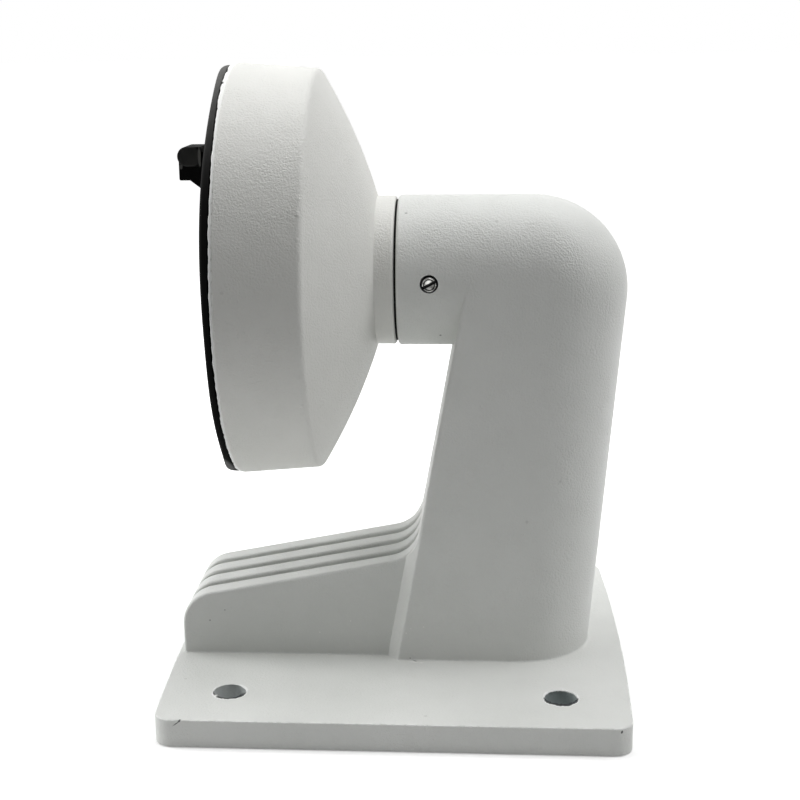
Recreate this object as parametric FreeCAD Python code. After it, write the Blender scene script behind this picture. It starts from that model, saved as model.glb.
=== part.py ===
import FreeCAD, Part
import math
import os

# Wall bracket for a small dome camera: a bent hollow arm cast in one piece with its wall plate,
# and a round dish plugged into the arm's mouth and locked there by two slotted grub screws.
# Sizes are in millimetres. +Z points away from the wall, the origin is the centre of the wall
# plate's back face, and the dish looks along -X.

# Wall plate
PLATE_LENGTH_X = 120.8      # between the corners, along X
PLATE_WIDTH_Y = 120.0
PLATE_THICKNESS = 7.4
PLATE_SIDE_BULGE = 1.6      # how far the two edges facing +X and -X swell out at mid length
PLATE_CORNER_R = 5.0
PLATE_EDGE_R = 0.45
WALL_HOLE_SPACING_X = 86.6
WALL_HOLE_SPACING_Y = 84.4
WALL_HOLE_R = 4.3

# Arm: round tube, elbow and D-section column
ARM_AXIS_Z = 112.5          # height of the dish and tube axis
ARM_R = 20.1                # outer radius of the tube, and half the column's width
BEND_X = 35.9               # where the elbow starts
BEND_R = 5.2                # radius of the arm's centre line round the elbow
COLUMN_LEAN_DEG = 4.8       # lean of the column's rounded outer side
INNER_FACE_FOOT_X = -2.1    # where the column's flat inner face meets the plane Z = 0
INNER_FACE_LEAN_DEG = 10.3
COLUMN_EDGE_R = 1.0         # rounding of the flat inner face's two long edges
FOOT_FILLET_R = 0.5
ARM_WALL = 3.4
MOUTH_EDGE_R = 0.8          # rounding of the arm's mouth

# Ribbed wedge between the wall plate and the column
RIB_COUNT = 4
RIB_SET_BACK = 3.1          # from the column's sides in to the outer ribs
STEP_RAMP_LENGTH = 2.4      # slope from the outer ribs' sides out to the column's sides
RIB_END_INSET = 1.7         # from the plate's swollen side in to the ribs' noses
RIB_SLOPE_DEG = 10.9
RIB_HEIGHT_AT_COLUMN = 28.0 # height of the sloping top line over the plate, at X = 0
RIB_NOSE_R = 9.5
RIB_ROOT_R = 10.0           # hollow curve that carries the ribs up the column
RIB_EDGE_R = 0.8
GROOVE_WIDTH = 3.2
GROOVE_DEPTH = 4.0
WEDGE_ROOF = 3.4            # metal left between a groove's floor and the hollow under it

# Joint between the arm and the dish
SPIGOT_R = 15.5
SPIGOT_CLEARANCE = 0.15
SPIGOT_LENGTH = 20.0
SOCKET_END_GAP = 1.0
SOCKET_LEDGE = 1.0          # step from the spigot's radius down to the cable passage behind it
SEAL_THICKNESS = 0.6
SEAL_RECESS = 1.2           # how far the seal lies below the outer skin
SEAL_CLEARANCE = 0.2        # between the seal and the spigot
SET_SCREW_X = 8.65
SET_SCREW_DROP = 0.7        # from the tube's axis down to the screws' axis
SET_SCREW_R = 2.15
SET_SCREW_CLEARANCE = 0.2
SET_SCREW_SINK = 0.8        # below the tube's skin
SET_SCREW_TIP = 1.2         # height of the screw's cone
SET_SCREW_SLOT_WIDTH = 0.7
SET_SCREW_SLOT_DEPTH = 0.9
SET_SCREW_SLOT_DEG = 27.5

# Dish, from the neck out to the rim
DISH_NECK_STEP = 0.2        # how much slimmer the neck is than the arm
DISH_NECK_LENGTH = 5.1
DISH_CONE_DEPTH = 15.0      # from the neck to the crease between the cone and the wall
DISH_CONE_BULGE = 1.1       # height of the cone's curve over its chord
DISH_WALL_DEPTH = 21.4      # from the crease to the rim
DISH_WALL_DRAFT_DEG = 4.54
DISH_RIM_R = 55.0
DISH_RIM_LAND = 4.0         # width of the flat rim
DISH_WALL = 3.6
DISH_EDGE_R = 0.7
DISH_CREASE_R = 1.8         # rounding between the cone and the wall
DISH_BORE_R = 12.3
CAMERA_SCREW_COUNT = 3
CAMERA_SCREW_INSET = 10.0   # from the rim's outer edge in to the screws
CAMERA_SCREW_R = 1.65
CAMERA_SCREW_DEPTH = 12.0
CAMERA_BOSS_R = 6.5
CAMERA_BOSS_SINK = 1.0      # below the rim

# Dish gasket
GASKET_SET_BACK = 0.3       # from the rim's outer edge in to the lip
GASKET_WIDTH = 3.3
GASKET_THICKNESS = 2.4
GASKET_UNDERCUT = 0.6       # height and depth of the notch under the lip
GASKET_LIP_ROUND = 0.9
GASKET_EDGE_R = 0.2
BEAD_INSET = 2.1            # from the rim's outer edge in to the middle of the gasket's bead
BEAD_WIDTH = 1.4
BEAD_DEPTH = 1.2
BEAD_CLEARANCE = 0.05

# Camera hook, set to one side of the dish; its heights are over the dish axis
HOOK_Y = -25.0
HOOK_REACH = 11.3           # how far the hook stands out of the rim
HOOK_LEVER_BOTTOM = 30.5
HOOK_LEVER_THICKNESS = 4.8
HOOK_LEVER_LENGTH = 5.9
HOOK_LEVER_WIDTH = 10.0
HOOK_LEVER_FLAT = 0.1       # flat left at the middle of the lever's round tip
HOOK_NECK_THICKNESS = 3.4
HOOK_LEVER_EDGE_R = 0.35    # rounding of the lever's outline on both sides
HOOK_BODY_WIDTH = 6.0
HOOK_BODY_BOTTOM = 26.9
HOOK_BODY_EDGE_R = 0.4
HOOK_TOOTH_LENGTH = 2.7     # flat underside of the body, before the ramp down to its back
HOOK_RAMP_DROP = 2.4
HOOK_BASE_SINK = 5.1        # from the rim down to the hook's seat on its post
HOOK_BASE_THICKNESS = 2.6
HOOK_BASE_BOTTOM = 14.5
HOOK_POST_Z = 19.5
HOOK_POST_R = 4.5
HOOK_SCREW_R = 1.45
HOOK_SCREW_CLEARANCE = 0.1
HOOK_SCREW_LENGTH = 9.0     # in the post
HOOK_HOLE_SPARE = 1.0       # how much deeper the hole is than the screw
HOOK_SCREW_HEAD_R = 2.8
HOOK_SCREW_HEAD_HEIGHT = 1.8
HOOK_SCREW_SLOT_WIDTH = 0.8
HOOK_SCREW_SLOT_DEPTH = 0.9

# Places and sizes that follow from the values above
WEDGE_HALF_WIDTH = ARM_R - RIB_SET_BACK
RIB_THICKNESS = (2 * WEDGE_HALF_WIDTH - (RIB_COUNT - 1) * GROOVE_WIDTH) / RIB_COUNT
RIB_PITCH = RIB_THICKNESS + GROOVE_WIDTH
RIB_END_X = RIB_END_INSET - PLATE_SIDE_BULGE - PLATE_LENGTH_X / 2
DISH_FACE_X = -SEAL_THICKNESS
DISH_NECK_X = DISH_FACE_X - DISH_NECK_LENGTH
DISH_NECK_R = ARM_R - DISH_NECK_STEP
DISH_SHOULDER_X = DISH_NECK_X - DISH_CONE_DEPTH
DISH_SHOULDER_R = DISH_RIM_R - DISH_WALL_DEPTH * math.tan(math.radians(DISH_WALL_DRAFT_DEG))
DISH_RIM_X = DISH_SHOULDER_X - DISH_WALL_DEPTH
CAMERA_SCREW_CIRCLE_R = DISH_RIM_R - CAMERA_SCREW_INSET
BEAD_R = DISH_RIM_R - BEAD_INSET
HOOK_TIP_X = DISH_RIM_X - HOOK_REACH
HOOK_BASE_X = DISH_RIM_X + HOOK_BASE_SINK

X_AXIS = FreeCAD.Vector(1, 0, 0)
Y_AXIS = FreeCAD.Vector(0, 1, 0)
Z_AXIS = FreeCAD.Vector(0, 0, 1)
DISH_CENTRE = FreeCAD.Vector(0, 0, ARM_AXIS_Z)
OVERCUT = 5.0               # how far a cutting tool runs past the face that it opens
NEAR = 1e-3                 # an edge this close to a plane counts as lying in it


# Outlines

def rounded_corners(corners):
    """Tangent points and arc middles of a closed outline of (a, b, radius) corners."""
    rounded = []
    for index, (a, b, radius) in enumerate(corners):
        before = corners[index - 1]
        after = corners[(index + 1) % len(corners)]
        back = (before[0] - a, before[1] - b)
        ahead = (after[0] - a, after[1] - b)
        back_length = math.hypot(*back)
        ahead_length = math.hypot(*ahead)
        back = (back[0] / back_length, back[1] / back_length)
        ahead = (ahead[0] / ahead_length, ahead[1] / ahead_length)
        half_angle = math.acos(back[0] * ahead[0] + back[1] * ahead[1]) / 2
        reach = radius / math.tan(half_angle)
        bisector = (back[0] + ahead[0], back[1] + ahead[1])
        bisector_length = math.hypot(*bisector)
        depth = (radius / math.sin(half_angle) - radius) / bisector_length
        rounded.append((
            (a + back[0] * reach, b + back[1] * reach),
            (a + bisector[0] * depth, b + bisector[1] * depth),
            (a + ahead[0] * reach, b + ahead[1] * reach),
            radius > 0,
        ))
    return rounded


def outline_face(corners, place):
    """Flat face inside (a, b, radius) corners; place turns a plane point into a point in space."""
    rounded = rounded_corners(corners)
    edges = []
    for index, (start, middle, end, has_arc) in enumerate(rounded):
        if has_arc:
            edges.append(Part.Arc(place(*start), place(*middle), place(*end)).toShape())
        following = rounded[(index + 1) % len(rounded)][0]
        if math.dist(end, following) > NEAR:
            edges.append(Part.LineSegment(place(*end), place(*following)).toShape())
    return Part.Face(Part.Wire(edges))


def side_plate(corners, half_width):
    """Outline in the XZ plane, carried to both sides of Y = 0."""
    face = outline_face(corners, lambda x, z: FreeCAD.Vector(x, -half_width, z))
    return face.extrude(Y_AXIS * (2 * half_width))


def turned(corners):
    """Solid of revolution about the dish axis, from (x, r, radius) corners."""
    face = outline_face(corners, lambda x, r: FreeCAD.Vector(x, 0, ARM_AXIS_Z + r))
    return face.revolve(DISH_CENTRE, X_AXIS, 360)


def cylinder_x(radius, x_start, x_end, y=0.0, z=0.0):
    """Cylinder along X, its axis at y and at height z over the dish axis."""
    start = FreeCAD.Vector(x_start, y, ARM_AXIS_Z + z)
    return Part.makeCylinder(radius, x_end - x_start, start, X_AXIS)


def edges_where(shape, wanted):
    """Edges of a shape whose middle point passes the test."""
    chosen = []
    for edge in shape.Edges:
        middle = edge.valueAt((edge.FirstParameter + edge.LastParameter) / 2)
        if wanted(middle):
            chosen.append(edge)
    return chosen


# Arm

def inner_face_x(z, inset=0.0):
    """X of the column's flat inner face at height z, moved into the column by inset."""
    lean = math.radians(INNER_FACE_LEAN_DEG)
    return INNER_FACE_FOOT_X + z * math.tan(lean) + inset / math.cos(lean)


def d_section(radius, centre, outward, back_reach):
    """D-shaped face: a half round on the outward side of centre and a block behind it."""
    side = Y_AXIS * radius
    rear = centre - outward * back_reach
    corners = [centre + side, rear + side, rear - side, centre - side]
    edges = [Part.LineSegment(corners[i], corners[i + 1]).toShape() for i in range(3)]
    edges.append(Part.Arc(corners[3], centre + outward * radius, corners[0]).toShape())
    return Part.Face(Part.Wire(edges))


def bent_bar(inset, x_start, foot_z):
    """Tube, elbow and column as one bar with every outer surface moved in by inset.

    x_start is the free end of the tube and foot_z the height of the column's foot.
    """
    radius = ARM_R - inset
    lean = math.radians(COLUMN_LEAN_DEG)
    outward = FreeCAD.Vector(math.cos(lean), 0, -math.sin(lean))
    downward = FreeCAD.Vector(-math.sin(lean), 0, -math.cos(lean))
    bend_centre = FreeCAD.Vector(BEND_X, 0, ARM_AXIS_Z - BEND_R)

    elbow_section = d_section(radius, FreeCAD.Vector(BEND_X, 0, ARM_AXIS_Z), Z_AXIS, BEND_R)
    elbow = elbow_section.revolve(bend_centre, Y_AXIS, 90 + COLUMN_LEAN_DEG)

    column_reach = 2 * ARM_AXIS_Z
    column_section = d_section(radius, bend_centre + outward * BEND_R, outward, column_reach)
    column = column_section.extrude(downward * column_reach)
    trim = side_plate([
        (inner_face_x(foot_z, inset), foot_z, 0),
        (inner_face_x(ARM_AXIS_Z, inset), ARM_AXIS_Z, 0),
        (column_reach, ARM_AXIS_Z, 0),
        (column_reach, foot_z, 0),
    ], ARM_R + OVERCUT)
    column = column.common(trim)

    # The corner left between the tube's lower half, the elbow and the column
    slope = math.tan(lean)
    inner_lean = math.tan(math.radians(INNER_FACE_LEAN_DEG))
    gusset_x = (inner_face_x(bend_centre.z, inset) + inner_lean * slope * BEND_X) / (1 + inner_lean * slope)
    gusset_z = bend_centre.z + (BEND_X - gusset_x) * slope
    gusset = side_plate([
        (gusset_x, gusset_z, 0),
        (inner_face_x(ARM_AXIS_Z, inset), ARM_AXIS_Z, 0),
        (BEND_X, ARM_AXIS_Z, 0),
        (BEND_X, bend_centre.z, 0),
    ], radius)

    column = column.fuse([gusset]).removeSplitter()
    long_edges = edges_where(column, lambda middle: (
        abs(abs(middle.y) - radius) < NEAR
        and abs(middle.x - inner_face_x(middle.z, inset)) < NEAR
    ))
    column = column.makeFillet(COLUMN_EDGE_R, long_edges)

    start = FreeCAD.Vector(x_start, 0, ARM_AXIS_Z)
    upper = Part.Arc(start + Y_AXIS * radius, start + Z_AXIS * radius, start - Y_AXIS * radius)
    lower = Part.Arc(start - Y_AXIS * radius, start - Z_AXIS * radius, start + Y_AXIS * radius)
    tube = Part.Face(Part.Wire([upper.toShape(), lower.toShape()])).extrude(X_AXIS * (BEND_X - x_start))
    return tube.fuse([elbow, column]).removeSplitter()


def wall_plate():
    """Plate with two slightly swollen sides, rounded corners and a softened top edge."""
    half_x = PLATE_LENGTH_X / 2
    half_y = PLATE_WIDTH_Y / 2
    corners = [
        FreeCAD.Vector(half_x, -half_y, 0),
        FreeCAD.Vector(half_x, half_y, 0),
        FreeCAD.Vector(-half_x, half_y, 0),
        FreeCAD.Vector(-half_x, -half_y, 0),
    ]
    swell = X_AXIS * (half_x + PLATE_SIDE_BULGE)
    outline = Part.Wire([
        Part.Arc(corners[0], swell, corners[1]).toShape(),
        Part.LineSegment(corners[1], corners[2]).toShape(),
        Part.Arc(corners[2], swell * -1, corners[3]).toShape(),
        Part.LineSegment(corners[3], corners[0]).toShape(),
    ])
    plate = Part.Face(outline).extrude(Z_AXIS * PLATE_THICKNESS)
    uprights = edges_where(plate, lambda middle: abs(middle.z - PLATE_THICKNESS / 2) < NEAR)
    plate = plate.makeFillet(PLATE_CORNER_R, uprights)
    top_edges = edges_where(plate, lambda middle: abs(middle.z - PLATE_THICKNESS) < NEAR)
    return plate.makeFillet(PLATE_EDGE_R, top_edges)


def rib_outline(inset, floor_z):
    """Side view of the ribs, moved in by inset: nose, sloping top and the root up the column."""
    slope = math.radians(RIB_SLOPE_DEG)
    nose_x = RIB_END_X + inset
    crest_z = PLATE_THICKNESS + RIB_HEIGHT_AT_COLUMN - inset / math.cos(slope)
    lean = math.tan(math.radians(INNER_FACE_LEAN_DEG))
    root_x = inner_face_x(crest_z) / (1 - lean * math.tan(slope))
    root_z = crest_z + root_x * math.tan(slope)
    root_r = RIB_ROOT_R + inset
    top_z = root_z + 2 * root_r
    return [
        (nose_x, floor_z, 0),
        (nose_x, crest_z + nose_x * math.tan(slope), max(RIB_NOSE_R - inset, 0)),
        (root_x, root_z, root_r),
        (inner_face_x(top_z), top_z, 0),
        (inner_face_x(top_z) + ARM_R, top_z, 0),
        (inner_face_x(floor_z) + ARM_R, floor_z, 0),
    ]


def ribbed_wedge():
    """Ribs side by side on a lower core, so that grooves of one depth run between them."""
    floor_z = PLATE_THICKNESS / 2
    half_core = (RIB_COUNT - 1) * RIB_PITCH / 2
    wedge = side_plate(rib_outline(GROOVE_DEPTH, floor_z), half_core)
    for index in range(RIB_COUNT):
        rib = side_plate(rib_outline(0, floor_z), RIB_THICKNESS / 2)
        outer_edges = edges_where(rib, lambda middle: (
            abs(abs(middle.y) - RIB_THICKNESS / 2) < NEAR
            and middle.z > PLATE_THICKNESS
            and middle.x < inner_face_x(middle.z) + NEAR
        ))
        rib = rib.makeFillet(RIB_EDGE_R, outer_edges)
        rib.translate(Y_AXIS * (index * RIB_PITCH - half_core))
        wedge = wedge.fuse([rib])
    return wedge.removeSplitter()


def step_ramps():
    """Sloping faces that carry the outer ribs' sides out to the column's sides, one each side."""
    floor_z = PLATE_THICKNESS / 2
    top_z = ARM_AXIS_Z - ARM_R
    climb = FreeCAD.Vector(inner_face_x(top_z) - inner_face_x(floor_z), 0, top_z - floor_z)
    limit = side_plate(rib_outline(RIB_EDGE_R, floor_z), ARM_R)
    start_x = inner_face_x(floor_z) - STEP_RAMP_LENGTH
    rise = RIB_SET_BACK / (STEP_RAMP_LENGTH + COLUMN_EDGE_R * 0.7)
    reach_x = inner_face_x(floor_z) + COLUMN_EDGE_R / 2
    ramps = []
    for side in (-1, 1):
        corners = [
            FreeCAD.Vector(x, side * y, floor_z) for x, y in (
                (start_x - 1.0, WEDGE_HALF_WIDTH - rise),
                (reach_x, WEDGE_HALF_WIDTH + (reach_x - start_x) * rise),
                (reach_x + ARM_WALL / 2, WEDGE_HALF_WIDTH + (reach_x - start_x) * rise),
                (reach_x + ARM_WALL / 2, WEDGE_HALF_WIDTH - rise),
            )
        ]
        face = Part.Face(Part.makePolygon(corners + corners[:1]))
        ramps.append(face.extrude(climb).common(limit))
    return ramps


def wedge_hollow():
    """Core of the casting under the ribs, open at the wall plate's back."""
    slope = math.radians(RIB_SLOPE_DEG)
    depth = GROOVE_DEPTH + WEDGE_ROOF
    roof_z = PLATE_THICKNESS + RIB_HEIGHT_AT_COLUMN - depth / math.cos(slope)
    left_x = RIB_END_X + depth
    web_foot_x = inner_face_x(-OVERCUT)
    web_top_x = inner_face_x(roof_z)
    return side_plate([
        (left_x, -OVERCUT, 0),
        (left_x, roof_z + left_x * math.tan(slope), COLUMN_EDGE_R),
        (web_top_x, roof_z + web_top_x * math.tan(slope), COLUMN_EDGE_R),
        (web_foot_x, -OVERCUT, 0),
    ], WEDGE_HALF_WIDTH - ARM_WALL)


def foot_fillet(body):
    """Small fillet where the column and the outer ribs stand on the wall plate."""
    foot_edges = edges_where(body, lambda middle: (
        abs(middle.z - PLATE_THICKNESS) < NEAR
        and RIB_END_X + RIB_EDGE_R < middle.x < PLATE_LENGTH_X / 2 - PLATE_CORNER_R
        and abs(middle.y) < PLATE_WIDTH_Y / 2 - PLATE_CORNER_R
        and (abs(middle.y) > WEDGE_HALF_WIDTH - NEAR or middle.x > 0)
    ))
    return body.makeFillet(FOOT_FILLET_R, foot_edges)


def arm_casting():
    """Wall plate, ribs, column, elbow and tube as one hollow casting."""
    body = wall_plate().fuse([bent_bar(0.0, 0.0, 0.0), ribbed_wedge()] + step_ramps())
    body = body.removeSplitter().Solids[0]
    body = foot_fillet(body)
    mouth = edges_where(body, lambda middle: abs(middle.x) < NEAR and middle.z > ARM_AXIS_Z / 2)
    body = body.makeFillet(MOUTH_EDGE_R, mouth)

    hollow_start = inner_face_x(ARM_AXIS_Z, ARM_WALL)
    hollow = bent_bar(ARM_WALL, hollow_start, -OVERCUT)
    passage = cylinder_x(SPIGOT_R - SOCKET_LEDGE, SPIGOT_LENGTH, BEND_X)
    socket = cylinder_x(SPIGOT_R + SPIGOT_CLEARANCE, -OVERCUT, SPIGOT_LENGTH + SOCKET_END_GAP)
    body = body.cut([hollow, passage, socket, wedge_hollow()])

    screw_hole_r = SET_SCREW_R + SET_SCREW_CLEARANCE
    screw_holes = Part.makeCylinder(
        screw_hole_r, 2 * ARM_R + 2 * OVERCUT,
        FreeCAD.Vector(SET_SCREW_X, -ARM_R - OVERCUT, ARM_AXIS_Z - SET_SCREW_DROP), Y_AXIS)
    wall_holes = [
        Part.makeCylinder(
            WALL_HOLE_R, PLATE_THICKNESS + 2 * OVERCUT,
            FreeCAD.Vector(x * WALL_HOLE_SPACING_X / 2, y * WALL_HOLE_SPACING_Y / 2, -OVERCUT), Z_AXIS)
        for x in (-1, 1) for y in (-1, 1)
    ]
    return body.cut([screw_holes] + wall_holes).Solids[0]


# Dish

def cone_arc():
    """Centre (x, r) and radius of the arc that the dish's convex cone follows."""
    chord = (DISH_SHOULDER_X - DISH_NECK_X, DISH_SHOULDER_R - DISH_NECK_R)
    length = math.hypot(*chord)
    radius = (length ** 2 / 4 + DISH_CONE_BULGE ** 2) / (2 * DISH_CONE_BULGE)
    inward = (-chord[1] / length, chord[0] / length)
    reach = radius - DISH_CONE_BULGE
    middle = ((DISH_SHOULDER_X + DISH_NECK_X) / 2, (DISH_SHOULDER_R + DISH_NECK_R) / 2)
    return (middle[0] + inward[0] * reach, middle[1] + inward[1] * reach), radius


def cone_point(centre, radius, r):
    """Point (x, r) of a cone arc at the given distance from the dish axis."""
    return centre[0] + math.sqrt(radius ** 2 - (r - centre[1]) ** 2), r


def revolved_profile(edges):
    """Solid of revolution about the dish axis from a closed list of profile edges."""
    return Part.Face(Part.Wire(edges)).revolve(DISH_CENTRE, X_AXIS, 360)


def profile_point(x, r):
    return FreeCAD.Vector(x, 0, ARM_AXIS_Z + r)


def profile_line(start, end):
    return Part.LineSegment(profile_point(*start), profile_point(*end)).toShape()


def funnel(inset, rim_x, rim_r, bore_r, bore_x):
    """Solid of revolution inside the dish's skin moved in by inset: wall, cone and straight bore."""
    centre, radius = cone_arc()
    radius -= inset
    shoulder_r = DISH_SHOULDER_R - inset
    neck_r = max(DISH_NECK_R - inset, bore_r)
    shoulder = cone_point(centre, radius, shoulder_r)
    neck = cone_point(centre, radius, neck_r)
    middle = cone_point(centre, radius, (shoulder_r + neck_r) / 2)
    points = [(rim_x, 0), (rim_x, rim_r), shoulder]
    edges = [profile_line(points[0], points[1]), profile_line(points[1], points[2])]
    edges.append(Part.Arc(*(profile_point(*p) for p in (shoulder, middle, neck))).toShape())
    if neck_r > bore_r:
        edges.append(profile_line(neck, (neck[0], bore_r)))
    edges.append(profile_line((neck[0], bore_r), (bore_x, bore_r)))
    edges.append(profile_line((bore_x, bore_r), (bore_x, 0)))
    edges.append(profile_line((bore_x, 0), points[0]))
    return revolved_profile(edges)


def camera_screw_places():
    """Y and height over the dish axis of each camera screw, evenly round from the top."""
    places = []
    for index in range(CAMERA_SCREW_COUNT):
        angle = math.radians(90 + 360 * index / CAMERA_SCREW_COUNT)
        places.append((CAMERA_SCREW_CIRCLE_R * math.cos(angle), CAMERA_SCREW_CIRCLE_R * math.sin(angle)))
    return places


def dish():
    """Round dish with a funnel inside, a neck and the spigot that plugs into the arm."""
    skin = funnel(0.0, DISH_RIM_X, DISH_RIM_R, DISH_NECK_R, DISH_FACE_X)
    soft_edges = edges_where(skin, lambda middle: (
        abs(middle.x - DISH_RIM_X) < NEAR or abs(middle.x - DISH_FACE_X) < NEAR))
    skin = skin.makeFillet(DISH_EDGE_R, soft_edges)
    crease = edges_where(skin, lambda middle: abs(middle.x - DISH_SHOULDER_X) < NEAR)
    skin = skin.makeFillet(DISH_CREASE_R, crease)
    rim_inner_r = DISH_RIM_R - DISH_RIM_LAND
    inside = funnel(DISH_WALL, DISH_RIM_X - OVERCUT, rim_inner_r, DISH_BORE_R, 0.0)
    body = skin.cut(inside)

    hook_post = cylinder_x(HOOK_POST_R, HOOK_BASE_X, DISH_NECK_X, HOOK_Y, HOOK_POST_Z)
    posts = [hook_post]
    boss_face_x = DISH_RIM_X + CAMERA_BOSS_SINK
    for y, z in camera_screw_places():
        posts.append(cylinder_x(CAMERA_BOSS_R, boss_face_x, DISH_NECK_X, y, z))
    body = body.fuse([post.common(skin) for post in posts])

    spigot = cylinder_x(SPIGOT_R, DISH_FACE_X - OVERCUT, SPIGOT_LENGTH)
    spigot = spigot.cut([screw_groove()])
    body = body.fuse([spigot]).removeSplitter()

    tools = [cylinder_x(DISH_BORE_R, DISH_NECK_X - OVERCUT, SPIGOT_LENGTH + OVERCUT)]
    groove_half = BEAD_WIDTH / 2 + BEAD_CLEARANCE
    groove_end_x = DISH_RIM_X + BEAD_DEPTH + BEAD_CLEARANCE
    bead_groove = cylinder_x(BEAD_R + groove_half, DISH_RIM_X - OVERCUT, groove_end_x)
    groove_core = cylinder_x(BEAD_R - groove_half, DISH_RIM_X - 2 * OVERCUT, groove_end_x)
    tools.append(bead_groove.cut([groove_core]))
    for y, z in camera_screw_places():
        tools.append(cylinder_x(
            CAMERA_SCREW_R, boss_face_x - OVERCUT, boss_face_x + CAMERA_SCREW_DEPTH, y, z))
    hook_hole_end = HOOK_BASE_X + HOOK_SCREW_LENGTH + HOOK_HOLE_SPARE
    tools.append(cylinder_x(
        HOOK_SCREW_R + HOOK_SCREW_CLEARANCE, HOOK_BASE_X - OVERCUT, hook_hole_end, HOOK_Y, HOOK_POST_Z))
    return body.cut(tools).Solids[0]


def screw_groove():
    """V groove round the spigot that takes the set screws' cone tips."""
    groove_half = SET_SCREW_TIP + SPIGOT_CLEARANCE
    return turned([
        (SET_SCREW_X - groove_half - OVERCUT, SPIGOT_R + OVERCUT, 0),
        (SET_SCREW_X, SPIGOT_R - groove_half, 0),
        (SET_SCREW_X + groove_half + OVERCUT, SPIGOT_R + OVERCUT, 0),
    ])


def dish_gasket():
    """Rubber ring on the dish's rim, with an undercut lip and a bead pressed into the rim."""
    face_x = DISH_RIM_X - GASKET_THICKNESS
    lip_r = DISH_RIM_R - GASKET_SET_BACK
    inner_r = lip_r - GASKET_WIDTH
    notch_r = lip_r - GASKET_UNDERCUT
    bead_inner = BEAD_R - BEAD_WIDTH / 2
    bead_outer = BEAD_R + BEAD_WIDTH / 2
    return turned([
        (face_x, inner_r, GASKET_EDGE_R),
        (face_x, lip_r, GASKET_LIP_ROUND),
        (DISH_RIM_X - GASKET_UNDERCUT, lip_r, GASKET_EDGE_R),
        (DISH_RIM_X - GASKET_UNDERCUT, notch_r, 0),
        (DISH_RIM_X, notch_r, 0),
        (DISH_RIM_X, bead_outer, 0),
        (DISH_RIM_X + BEAD_DEPTH, bead_outer, 0),
        (DISH_RIM_X + BEAD_DEPTH, bead_inner, 0),
        (DISH_RIM_X, bead_inner, 0),
        (DISH_RIM_X, inner_r, 0),
    ])


def neck_seal():
    """Flat rubber ring squeezed between the dish's shoulder and the arm's mouth."""
    ring = cylinder_x(ARM_R - SEAL_RECESS, DISH_FACE_X, 0.0)
    return ring.cut([cylinder_x(SPIGOT_R + SEAL_CLEARANCE, -OVERCUT, OVERCUT)])


# Small parts

def set_screw(side):
    """Slotted grub screw with a cone tip; side is -1 towards -Y and +1 towards +Y."""
    outer_r = ARM_R - SET_SCREW_SINK
    tip_r = SPIGOT_R - SET_SCREW_TIP
    shank_end_r = tip_r + SET_SCREW_R
    profile = [(0, tip_r), (SET_SCREW_R, shank_end_r), (SET_SCREW_R, outer_r), (0, outer_r)]
    axis_z = ARM_AXIS_Z - SET_SCREW_DROP
    points = [FreeCAD.Vector(SET_SCREW_X + x, side * y, axis_z) for x, y in profile]
    face = Part.Face(Part.makePolygon(points + points[:1]))
    screw = face.revolve(points[0], Y_AXIS, 360)
    slot_reach = SET_SCREW_R + OVERCUT
    slot = Part.makeBox(
        2 * slot_reach, 2 * SET_SCREW_SLOT_DEPTH, SET_SCREW_SLOT_WIDTH,
        FreeCAD.Vector(-slot_reach, -SET_SCREW_SLOT_DEPTH, -SET_SCREW_SLOT_WIDTH / 2))
    slot.rotate(FreeCAD.Vector(), Y_AXIS, -SET_SCREW_SLOT_DEG)
    slot.translate(FreeCAD.Vector(SET_SCREW_X, side * outer_r, axis_z))
    return screw.cut([slot]).Solids[0]


def hook_slice(corners, width):
    """Outline of (x, height over the dish axis, radius) corners, as wide as the given width."""
    face = outline_face(corners, lambda x, z: FreeCAD.Vector(x, HOOK_Y - width / 2, ARM_AXIS_Z + z))
    return face.extrude(Y_AXIS * width)


def camera_hook():
    """Black plastic hook: base on its post, body standing out of the dish and a rounded lever."""
    base_front_x = HOOK_BASE_X - HOOK_BASE_THICKNESS
    lever_root_x = HOOK_TIP_X + HOOK_LEVER_LENGTH
    lever_middle = HOOK_LEVER_BOTTOM + HOOK_LEVER_THICKNESS / 2
    lever_top = HOOK_LEVER_BOTTOM + HOOK_LEVER_THICKNESS
    lever_tip_r = (HOOK_LEVER_THICKNESS - HOOK_LEVER_FLAT) / 2
    neck_top = HOOK_LEVER_BOTTOM + HOOK_NECK_THICKNESS
    ramp_bottom = HOOK_BODY_BOTTOM - HOOK_RAMP_DROP
    lever = hook_slice([
        (HOOK_TIP_X, HOOK_LEVER_BOTTOM, lever_tip_r),
        (HOOK_TIP_X, lever_top, lever_tip_r),
        (lever_root_x, lever_top, 0),
        (lever_root_x, HOOK_LEVER_BOTTOM, 0),
    ], HOOK_LEVER_WIDTH)
    lever = lever.makeFillet(HOOK_LEVER_EDGE_R, edges_where(lever, lambda middle: (
        abs(abs(middle.y - HOOK_Y) - HOOK_LEVER_WIDTH / 2) < NEAR)))
    body = hook_slice([
        (HOOK_TIP_X, HOOK_BODY_BOTTOM, HOOK_BODY_EDGE_R),
        (HOOK_TIP_X, lever_middle, 0),
        (lever_root_x, lever_middle, 0),
        (lever_root_x, neck_top, 0),
        (HOOK_BASE_X, neck_top, 0),
        (HOOK_BASE_X, HOOK_BASE_BOTTOM, 0),
        (base_front_x, HOOK_BASE_BOTTOM, 0),
        (base_front_x, ramp_bottom, 0),
        (lever_root_x, ramp_bottom, 0),
        (HOOK_TIP_X + HOOK_TOOTH_LENGTH, HOOK_BODY_BOTTOM, 0),
    ], HOOK_BODY_WIDTH)
    hook = lever.fuse([body])
    hole = cylinder_x(
        HOOK_SCREW_R + HOOK_SCREW_CLEARANCE, base_front_x - OVERCUT, HOOK_BASE_X + OVERCUT,
        HOOK_Y, HOOK_POST_Z)
    return hook.cut([hole]).removeSplitter().Solids[0]


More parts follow.
